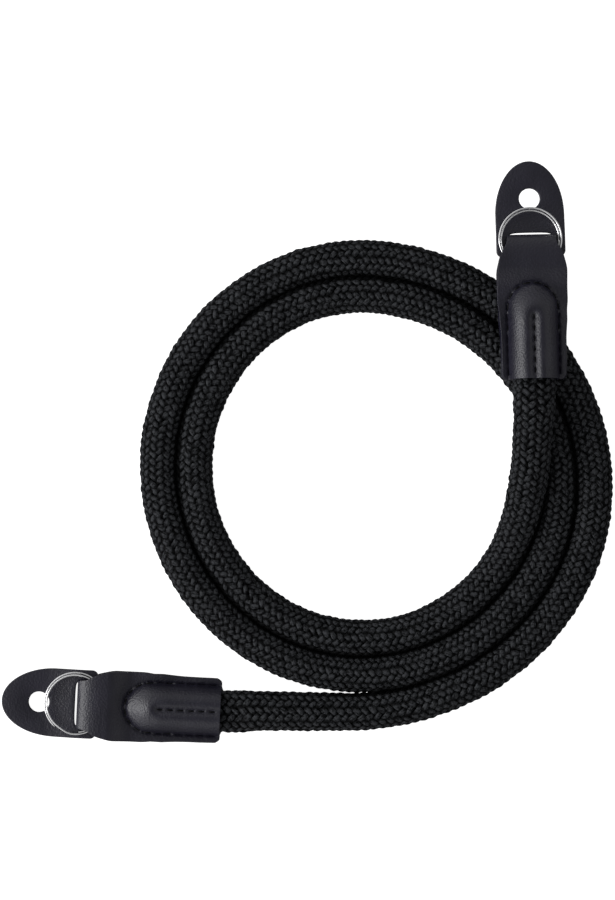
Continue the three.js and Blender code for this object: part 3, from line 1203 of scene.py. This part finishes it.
    def face(self, side: Face, u: Array, v: Array) -> Array:
        """Works out points on one outer face, with the front pulled in along its seams.

        Args:
            side: The face.
            u: Stations along the leather.
            v: Places across it.

        Returns:
            The points, in the end's frame.
        """
        u, v = np.broadcast_arrays(u, v)
        if side is Face.FRONT:
            height = self.front_top(u, v) - self.sewn_in(u, v)
        else:
            height = self.back_under(u, v)
        return np.stack([u, v, height], axis=-1)

    def shares(self) -> Array:
        """Spaces the columns across the leather, from edge to edge.

        Returns:
            Their places, as shares of half its width.
        """
        edge = 1.0 - self.edge_column / max(row.half for row in self.outline)
        inner = np.linspace(-edge, edge, self.columns - 1)
        return np.concatenate([[-1.0], inner, [1.0]])

    def skin(self) -> Array:
        """Works out the leather's outer face: its back half, fold and front half.

        Returns:
            Its points, by row along the leather and column across it.
        """
        shares = self.shares()[None, :]
        radius = self.fold_radius
        span = self.mouth_u - radius
        back_u = np.linspace(self.mouth_u, radius, int(span / self.coarse_row))[:, None]
        front_u = np.linspace(self.fold_to_u, self.mouth_u, int(span / self.fine_row))[:, None]
        back = self.face(Face.BACK, back_u, shares * self.half_width(back_u))
        front = self.face(Face.FRONT, front_u, shares * self.half_width(front_u))
        angle = np.linspace(-0.5 * math.pi, 0.5 * math.pi, self.fold_rows + 2)[1:-1, None]
        middle_u = np.where(angle < 0.0, radius, self.fold_to_u)
        fold_u = middle_u - (middle_u + self.fold_reach) * np.cos(angle)
        fold_v = shares * self.half_width(fold_u)
        fold_w = radius * (1.0 + np.sin(angle))
        fold = np.stack(np.broadcast_arrays(fold_u, fold_v, fold_w), axis=-1)
        return np.concatenate([back, fold, front])

    def build_leather(self, skin: Material, edge: Material) -> Piece:
        """Builds the folded strip from a grid, with its thickness and its rounded cut edges.

        Args:
            skin: Material of its faces.
            edge: Material of its cut edges.

        Returns:
            The piece.
        """
        rows = self.skin()
        last_row, last_column = rows.shape[0] - 1, rows.shape[1] - 1
        deselect_all()
        bpy.ops.mesh.primitive_grid_add(x_subdivisions=last_column, y_subdivisions=last_row, size=1.0)
        piece = name_active(f"sewn_leather_end_{self.end.name}")
        flat = points_of(piece)
        column = np.rint((0.5 - flat[:, 0]) * last_column).astype(int)
        row = np.rint((0.5 + flat[:, 1]) * last_row).astype(int)
        move_points(piece, rows[row, column])
        wear(piece, skin, edge)
        apply_modifier(
            piece, "SOLIDIFY", thickness=self.thickness, offset=-1.0, material_offset_rim=self.edge_slot
        )
        self.round_rim(piece)
        self.end.place(piece)
        shade_smooth(piece, self.smooth_deg)
        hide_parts(f"leather_end_{self.end.name}")
        return piece

    def round_rim(self, piece: Piece) -> None:
        """Rounds the two borders of the leather's cut edge.

        Args:
            piece: The leather.
        """
        bpy.ops.object.mode_set(mode="EDIT")
        bpy.ops.mesh.select_mode(type="FACE")
        bpy.ops.mesh.select_all(action="DESELECT")
        mesh = bmesh.from_edit_mesh(piece.data)
        for polygon in mesh.faces:
            polygon.select = polygon.material_index == self.edge_slot
        bmesh.update_edit_mesh(piece.data)
        bpy.ops.mesh.region_to_loop()
        bpy.ops.mesh.bevel(
            offset=self.rim_round, segments=self.rim_segments, affect="EDGES", clamp_overlap=True
        )
        bpy.ops.object.mode_set(mode="OBJECT")

    def build_stitches(self, thread: Material) -> Piece:
        """Builds the thread that shows of the seams, as copies of one stitch.

        Args:
            thread: The thread's material.

        Returns:
            The piece.
        """
        deselect_all()
        bpy.ops.mesh.primitive_uv_sphere_add(
            segments=self.stitch_sides, ring_count=self.stitch_rings, radius=0.5
        )
        stitch = bpy.context.active_object
        bpy.ops.object.mode_set(mode="EDIT")
        bpy.ops.transform.rotate(
            value=0.5 * math.pi, orient_axis="Y", orient_type="GLOBAL", center_override=(0.0, 0.0, 0.0)
        )
        bpy.ops.object.mode_set(mode="OBJECT")
        shape = points_of(stitch) * np.array([self.stitch_length, self.stitch_width, self.stitch_height])
        sag = (2.0 * shape[:, 0] / self.stitch_length) ** 2
        shape[:, 2] -= 0.5 * self.stitch_height * sag
        faces = [tuple(polygon.vertices) for polygon in stitch.data.polygons]
        bpy.data.objects.remove(stitch)
        points: list[Array] = []
        polygons: list[tuple[int, ...]] = []
        for side in Face:
            for seam in self.seam_holes():
                holes = self.face(side, seam[:, 0], seam[:, 1])
                for start, finish in zip(holes[:-1], holes[1:]):
                    base = len(points) * len(shape)
                    polygons += [tuple(base + corner for corner in face) for face in faces]
                    points.append(self.stitch_between(shape, start, finish, side))
        mesh = bpy.data.meshes.new(f"stitches_{self.end.name}")
        mesh.from_pydata(np.concatenate(points), [], polygons)
        mark_painted_lit(mesh, np.ones(len(mesh.vertices)))
        piece = put_in_scene(mesh)
        wear(piece, thread)
        self.end.place(piece)
        shade_smooth(piece, self.stitch_smooth_deg)
        return piece

    def stitch_between(self, shape: Array, start: Array, finish: Array, side: Face) -> Array:
        """Lays one stitch between two needle holes.

        Args:
            shape: The stitch's points, along x and up z.
            start: The first hole.
            finish: The second hole.
            side: The face that it lies on.

        Returns:
            The stitch's points in its place.
        """
        middle_u, middle_v = 0.5 * (start + finish)[:2]
        middle = self.face(side, np.array(middle_u), np.array(middle_v))
        along = unit(finish - start)
        reach = self.stitch_width
        across = unit(np.cross(np.array([0.0, 0.0, side.value]), along))
        beside = np.array([-reach, reach])
        left, right = self.face(side, middle_u + beside * across[0], middle_v + beside * across[1])
        up = unit(np.cross(along, unit(right - left)))
        across = np.cross(up, along)
        sunk = middle + up * (self.stitch_rise * self.stitch_height)
        points = sunk + shape[:, :1] * along + shape[:, 1:2] * across + shape[:, 2:] * up
        points[:, 2] = np.maximum(points[:, 2], 0.0)
        return points

    def build(self, skin: Material, edge: Material, thread: Material) -> Pieces:
        """Builds the leather end and its seams.

        Args:
            skin: Material of the leather's faces.
            edge: Material of its cut edges.
            thread: Material of the stitches.

        Returns:
            Its pieces.
        """
        leather = self.build_leather(skin, edge)
        stitches = self.build_stitches(thread)
        for piece in (leather, stitches):
            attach(piece, STRAP_BODY)
        return [leather, stitches]


@dataclass
class LugProtector:
    """A tongue of leather with a lug hole, bent up to the slit that the leather end passes through."""

    end: StrapEnd
    thickness: float = 1.4
    tip_u: float = -21.2
    edge_u: float = 5.7
    half_width: float = 9.6
    round_length: float = 15.0
    corner: float = 1.6
    corner_segments: int = 6
    hole_u: float = -10.7
    hole_radius: float = 2.9
    gape_from_u: float = -1.05
    gape_half: float = 6.05
    gape_square: float = 0.5
    slit_mid_u: float = 0.3
    slit_to_u: float = 3.35
    slit_half: float = 6.6
    flat_to_u: float = -9.5
    raised_from_u: float = 2.0
    raised: float = 1.7
    rim_round: float = 0.3
    rim_segments: int = 3
    rim_angle_deg: float = 50.0
    smooth_deg: float = 40.0
    outline_points: int = 120
    hole_points: int = 64
    cutter_depth: float = 5.6
    pick_within: float = 0.01
    bend_step: float = 0.8

    def outline(self) -> Piece:
        """Draws the tongue's outline, from a circle stretched at its tip, and makes a flat slab of it.

        Returns:
            The slab.
        """
        round_u = self.tip_u + self.round_length
        deselect_all()
        bpy.ops.mesh.primitive_circle_add(
            vertices=self.outline_points, radius=self.half_width, location=(round_u, 0.0, 0.0)
        )
        bpy.ops.object.transform_apply(location=True)
        piece = name_active(f"leather_tongue_{self.end.name}")
        bpy.ops.object.mode_set(mode="EDIT")
        self.select_beyond(piece, round_u + self.pick_within)
        bpy.ops.mesh.delete(type="VERT")
        bpy.ops.mesh.select_all(action="SELECT")
        bpy.ops.transform.resize(
            value=(self.round_length / self.half_width, 1.0, 1.0), center_override=(round_u, 0.0, 0.0)
        )
        self.select_beyond(piece, round_u - self.pick_within)
        to_edge = (self.edge_u - round_u, 0.0, 0.0)
        bpy.ops.mesh.extrude_region_move(TRANSFORM_OT_translate={"value": to_edge})
        bpy.ops.mesh.edge_face_add()
        self.select_beyond(piece, self.edge_u - self.pick_within)
        bpy.ops.mesh.bevel(offset=self.corner, segments=self.corner_segments, affect="VERTICES")
        bpy.ops.mesh.select_all(action="SELECT")
        bpy.ops.mesh.edge_face_add()
        bpy.ops.mesh.extrude_region_move(TRANSFORM_OT_translate={"value": (0.0, 0.0, self.thickness)})
        bpy.ops.mesh.select_all(action="SELECT")
        bpy.ops.mesh.normals_make_consistent(inside=False)
        bpy.ops.object.mode_set(mode="OBJECT")
        return piece

    @staticmethod
    def select_beyond(piece: Piece, u: float) -> None:
        """Selects a mesh's points beyond a station, in edit mode.

        Args:
            piece: The piece, in edit mode.
            u: The station.
        """
        bpy.ops.mesh.select_mode(type="VERT")
        bpy.ops.mesh.select_all(action="DESELECT")
        mesh = bmesh.from_edit_mesh(piece.data)
        for point in mesh.verts:
            point.select = point.co.x >= u
        mesh.select_flush_mode()
        bmesh.update_edit_mesh(piece.data)

    @staticmethod
    def cut(piece: Piece, cutter: Piece) -> None:
        """Cuts a shape out of the tongue and removes the shape."""
        apply_modifier(piece, "BOOLEAN", operation="DIFFERENCE", object=cutter, solver="EXACT")
        bpy.data.objects.remove(cutter)

    def round_cutter(self, radius: float, u: float) -> Piece:
        """Makes a round cutter that goes through the tongue.

        Args:
            radius: Its radius.
            u: Its station.

        Returns:
            The cutter.
        """
        deselect_all()
        bpy.ops.mesh.primitive_cylinder_add(
            vertices=self.hole_points, radius=radius, depth=self.cutter_depth, location=(u, 0.0, 0.0)
        )
        return bpy.context.active_object

    def punch(self, piece: Piece) -> None:
        """Punches the round lug hole and the slit, which gapes towards the tip.

        Args:
            piece: The flat tongue.
        """
        self.cut(piece, self.round_cutter(self.hole_radius, self.hole_u))
        gape = self.round_cutter(1.0, self.slit_mid_u)
        points = points_of(gape)
        points[:, :2] = np.sign(points[:, :2]) * np.abs(points[:, :2]) ** self.gape_square
        move_points(gape, points)
        gape.scale = (self.slit_mid_u + self.end.protector_u - self.gape_from_u, self.gape_half, 1.0)
        self.cut(piece, gape)
        deselect_all()
        bpy.ops.mesh.primitive_cube_add(
            size=1.0, location=(0.5 * (self.slit_mid_u + self.slit_to_u), 0.0, 0.0)
        )
        slot = bpy.context.active_object
        slot.scale = (self.slit_to_u - self.slit_mid_u, 2.0 * self.slit_half, self.cutter_depth)
        self.cut(piece, slot)

    def bend(self, piece: Piece) -> None:
        """Cuts the tongue across in narrow strips, then raises it towards the slit.

        Args:
            piece: The flat tongue.
        """
        bpy.ops.object.mode_set(mode="EDIT")
        bpy.ops.mesh.select_all(action="SELECT")
        bpy.ops.mesh.quads_convert_to_tris()
        for station in np.arange(self.flat_to_u, self.raised_from_u + self.bend_step, self.bend_step):
            bpy.ops.mesh.select_all(action="SELECT")
            bpy.ops.mesh.bisect(plane_co=(float(station), 0.0, 0.0), plane_no=(1.0, 0.0, 0.0))
        bpy.ops.object.mode_set(mode="OBJECT")
        points = points_of(piece)
        points[:, 2] += self.raised * smoothstep(points[:, 0], self.flat_to_u, self.raised_from_u)
        move_points(piece, points)

    def build(self, skin: Material) -> Piece:
        """Builds the tongue.

        Args:
            skin: Material of the leather.

        Returns:
            The piece.
        """
        piece = self.outline()
        self.punch(piece)
        apply_modifier(
            piece, "BEVEL", width=self.rim_round, segments=self.rim_segments, limit_method="ANGLE",
            angle_limit=math.radians(self.rim_angle_deg),
        )
        self.bend(piece)
        piece.data.transform(Matrix.Translation((self.end.protector_u, 0.0, 0.0)))
        self.end.place(piece)
        wear(piece, skin)
        shade_smooth(piece, self.smooth_deg)
        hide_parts(f"lug_protector_{self.end.name}")
        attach(piece, STRAP_BODY)
        return piece


@dataclass
class SplitRing:
    """Two coils of fine wire, the outer one stepping over into the inner one."""

    end: StrapEnd
    outer_radius: float = 8.87
    wire_width: float = 0.48
    wire_height: float = 0.65
    wire_round: float = 0.23
    wire_round_segments: int = 4
    level_gap: float = 0.75
    inset: float = 0.9
    crossing_deg: float = 45.0
    crossing_steps: int = 10
    coil_steps: int = 96
    tip_deg: float = 11.0
    tip_share: float = 0.25
    tilt_deg: float = 2.0
    protector_edge_u: float = 5.7
    under_height: float = 3.4
    stack_height: float = 1.4
    merge_within: float = 0.0001
    smooth_deg: float = 50.0

    @property
    def outer_middle(self) -> float:
        """Radius of the middle of the outer coil's wire."""
        return self.outer_radius - 0.5 * self.wire_width

    def section(self) -> Piece:
        """Draws the wire's section at the start of the outer coil, in edit mode.

        Returns:
            The piece, with its section selected.
        """
        deselect_all()
        bpy.ops.mesh.primitive_plane_add(size=1.0)
        piece = name_active(f"steel_ring_{self.end.name}")
        piece.scale = (self.wire_width, self.wire_height, 1.0)
        bpy.ops.object.transform_apply(location=False, rotation=False, scale=True)
        bpy.ops.object.mode_set(mode="EDIT")
        bpy.ops.mesh.select_all(action="SELECT")
        bpy.ops.mesh.bevel(offset=self.wire_round, segments=self.wire_round_segments, affect="VERTICES")
        bpy.ops.object.mode_set(mode="OBJECT")
        piece.data.transform(Matrix.Rotation(0.5 * math.pi, 4, "X"))
        piece.data.transform(Matrix.Translation((self.outer_middle, 0.0, -0.5 * self.level_gap)))
        bpy.ops.object.mode_set(mode="EDIT")
        bpy.ops.mesh.select_all(action="SELECT")
        return piece

    def wind(self) -> None:
        """Winds the selected section round the outer coil, the crossing and the inner coil."""
        around = {"center": (0.0, 0.0, 0.0), "axis": (0.0, 0.0, 1.0)}
        coil = math.radians(360.0 - self.crossing_deg)
        bpy.ops.mesh.spin(steps=self.coil_steps, angle=coil, **around)
        shares = smoothstep(np.linspace(0.0, 1.0, self.crossing_steps + 1), 0.0, 1.0)
        step = math.radians(self.crossing_deg) / self.crossing_steps
        for index, share in enumerate(np.diff(shares)):
            bpy.ops.mesh.spin(steps=1, angle=step, **around)
            turned = coil + (index + 1) * step
            inward = -self.inset * float(share)
            up = self.level_gap * float(share)
            bpy.ops.transform.translate(value=(inward * math.cos(turned), inward * math.sin(turned), up))
        bpy.ops.mesh.spin(steps=self.coil_steps, angle=coil, **around)

    def point_ends(self, piece: Piece) -> None:
        """Narrows the wire at both of its ends.

        Args:
            piece: The wound wire.
        """
        points = points_of(piece)
        angle = np.degrees(np.arctan2(points[:, 1], points[:, 0])) % 360.0
        upper = points[:, 2] > 0.0
        to_end = np.where(upper, 360.0 - self.crossing_deg - angle, angle)
        share = smoothstep(to_end, 0.0, self.tip_deg)
        size = self.tip_share + (1.0 - self.tip_share) * np.where(to_end < 0.0, 1.0, share)
        middle = np.where(upper, self.outer_middle - self.inset, self.outer_middle)
        radius = np.hypot(points[:, 0], points[:, 1])
        narrowed = middle + (radius - middle) * size
        level = np.where(upper, 0.5, -0.5) * self.level_gap
        points[:, :2] *= (narrowed / radius)[:, None]
        points[:, 2] = level + (points[:, 2] - level) * size
        move_points(piece, points)

    def build(self, steel: Material) -> Piece:
        """Builds the ring.

        Args:
            steel: The ring's material.

        Returns:
            The piece.
        """
        piece = self.section()
        self.wind()
        bpy.ops.mesh.select_all(action="SELECT")
        bpy.ops.mesh.remove_doubles(threshold=self.merge_within)
        bpy.ops.mesh.normals_make_consistent(inside=False)
        bpy.ops.object.mode_set(mode="OBJECT")
        self.point_ends(piece)
        tilt = math.radians(self.tilt_deg)
        drop = (self.protector_edge_u + self.end.protector_u - self.end.ring_u) * math.sin(tilt)
        height = self.under_height - drop + 0.5 * self.stack_height
        flip = Matrix.Rotation(math.radians(self.end.ring_flip_deg), 4, "X")
        turn = Matrix.Rotation(math.radians(self.end.ring_turn_deg), 4, "Z")
        lean = Matrix.Rotation(-tilt, 4, "Y")
        centre = Matrix.Translation((self.end.ring_u, self.end.ring_v, height))
        piece.data.transform(centre @ lean @ turn @ flip)
        self.end.place(piece)
        wear(piece, steel)
        shade_smooth(piece, self.smooth_deg)
        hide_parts(f"split_ring_{self.end.name}")
        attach(piece, f"ring_{self.end.name}")
        return piece


class SkyRow(NamedTuple):
    """The room's brightness in directions that rise by a share of 1, from level to straight up."""

    rise: float
    brightness: float


@dataclass
class Studio:
    """The white table, the soft light and the camera that looks straight down."""

    floor_size: float = 6.0
    floor_drop: float = 0.00005
    camera_place: Place = (0.00028, 0.00077, 0.9)
    lens_mm: float = 85.24
    sensor_mm: float = 24.0
    near_clip: float = 0.01
    sky: Sequence[SkyRow] = (
        SkyRow(0.0, 0.6),
        SkyRow(0.08, 1.7),
        SkyRow(0.4, 1.5),
        SkyRow(0.62, 0.9),
        SkyRow(0.92, 0.55),
    )
    bright_side: Place = (-1.0, -0.05, 0.0)
    dim_dome: float = 0.4
    bright_dome: float = 1.4
    key_place: Place = (-1.06, -0.08, 0.44)
    key_size: float = 0.65
    key_watts: float = 5.1

    def build_camera(self) -> None:
        """Sets the camera over the strap, with the photo's top at +Y."""
        bpy.ops.object.camera_add(location=self.camera_place, rotation=(0.0, 0.0, 0.0))
        camera = bpy.context.active_object
        camera.data.sensor_fit = "VERTICAL"
        camera.data.sensor_height = self.sensor_mm
        camera.data.lens = self.lens_mm
        camera.data.clip_start = self.near_clip
        bpy.context.scene.camera = camera

    def build_floor(self) -> None:
        """Lays the table just under the strap."""
        deselect_all()
        bpy.ops.mesh.primitive_plane_add(size=self.floor_size, location=(0.0, 0.0, -self.floor_drop))
        floor = name_active("table")
        bpy.ops.object.transform_apply(location=True)
        wear(floor, FloorFinish().material())

    def add_softbox(self, name: str, place: Place, size: float, watts: float) -> None:
        """Hangs a square soft light that faces the strap.

        Args:
            name: The light's name.
            place: Where it hangs, in metres.
            size: Its side, in metres.
            watts: Its power.
        """
        bpy.ops.object.light_add(type="AREA", location=place)
        light = bpy.context.active_object
        light.name = name
        light.data.shape = "SQUARE"
        light.data.size = size
        light.data.energy = watts
        light.rotation_euler = Vector(place).to_track_quat("Z", "Y").to_euler()

    def build_light(self) -> None:
        """Lights the strap from the left, in a room that is pale on that side and dark overhead."""
        self.add_softbox("key", self.key_place, self.key_size, self.key_watts)
        world = bpy.data.worlds.new("white_room")
        bpy.context.scene.world = world
        world.use_nodes = True
        work = NodeWork(world.node_tree)
        direction = work.add("ShaderNodeTexCoord").outputs["Generated"]
        parts = work.add("ShaderNodeSeparateXYZ")
        work.link(direction, parts.inputs["Vector"])
        stops = [(row.rise, (row.brightness, row.brightness, row.brightness)) for row in self.sky]
        room = work.tree.nodes["Background"]
        work.link(work.ramp(parts.outputs["Z"], stops), room.inputs["Color"])
        facing = work.add("ShaderNodeVectorMath", {1: self.bright_side}, operation="DOT_PRODUCT")
        work.link(direction, facing.inputs[0])
        strength = work.spread(facing.outputs["Value"], self.dim_dome, self.bright_dome)
        work.link(strength, room.inputs["Strength"])
        backdrop = work.add("ShaderNodeBackground")
        mix = work.add("ShaderNodeMixShader")
        seen = work.add("ShaderNodeLightPath").outputs["Is Camera Ray"]
        work.link(seen, mix.inputs["Fac"])
        work.link(room.outputs["Background"], mix.inputs[1])
        work.link(backdrop.outputs["Background"], mix.inputs[2])
        work.link(mix.outputs["Shader"], work.tree.nodes["World Output"].inputs["Surface"])

    def build(self) -> None:
        """Builds the studio and sets plain colours for the picture."""
        self.build_camera()
        self.build_floor()
        self.build_light()
        bpy.context.scene.view_settings.view_transform = "Standard"


def main() -> None:
    """Builds the studio and the strap's pieces."""
    logging.basicConfig(level=logging.INFO, format="%(name)s: %(message)s")
    ends = (
        StrapEnd(
            name="a", fold=(62.3, 60.05, 8.9603), heading_deg=-88.8, pitch_deg=3.0, protector_u=0.0,
            ring_u=0.9, ring_v=-0.2, ring_flip_deg=180.0, ring_turn_deg=43.0, ripple_phase=0.8,
        ),
        StrapEnd(
            name="b", fold=(-64.0, -70.55, 0.0), heading_deg=-2.65, pitch_deg=0.0, protector_u=-0.55,
            ring_u=-0.87, ring_v=0.2, ring_flip_deg=0.0, ring_turn_deg=231.0, ripple_phase=2.1,
        ),
    )
    Studio().build()
    pieces = list(BraidedRope(ends).build())
    skin = LeatherFinish().material()
    edge = LeatherFinish(
        "cut_leather_edge", rough_low=0.18, rough_high=0.28, pebble_depth_mm=0.01,
    ).material()
    thread = StrandFinish(
        "black_sewing_thread", sunk=(0.0016, 0.0016, 0.0018), lit=(0.0030, 0.0030, 0.0034),
        specular=0.12, sheen=0.0, filaments_round=6.0,
    ).material()
    steel = SteelFinish().material()
    for end in ends:
        pieces += LeatherEnd(end).build(skin, edge, thread)
        pieces.append(LugProtector(end).build(skin))
        pieces.append(SplitRing(end).build(steel))
    for piece in pieces:
        LOG.info("%s: %d faces", piece.name, len(piece.data.polygons))


if __name__ == "__main__":
    main()
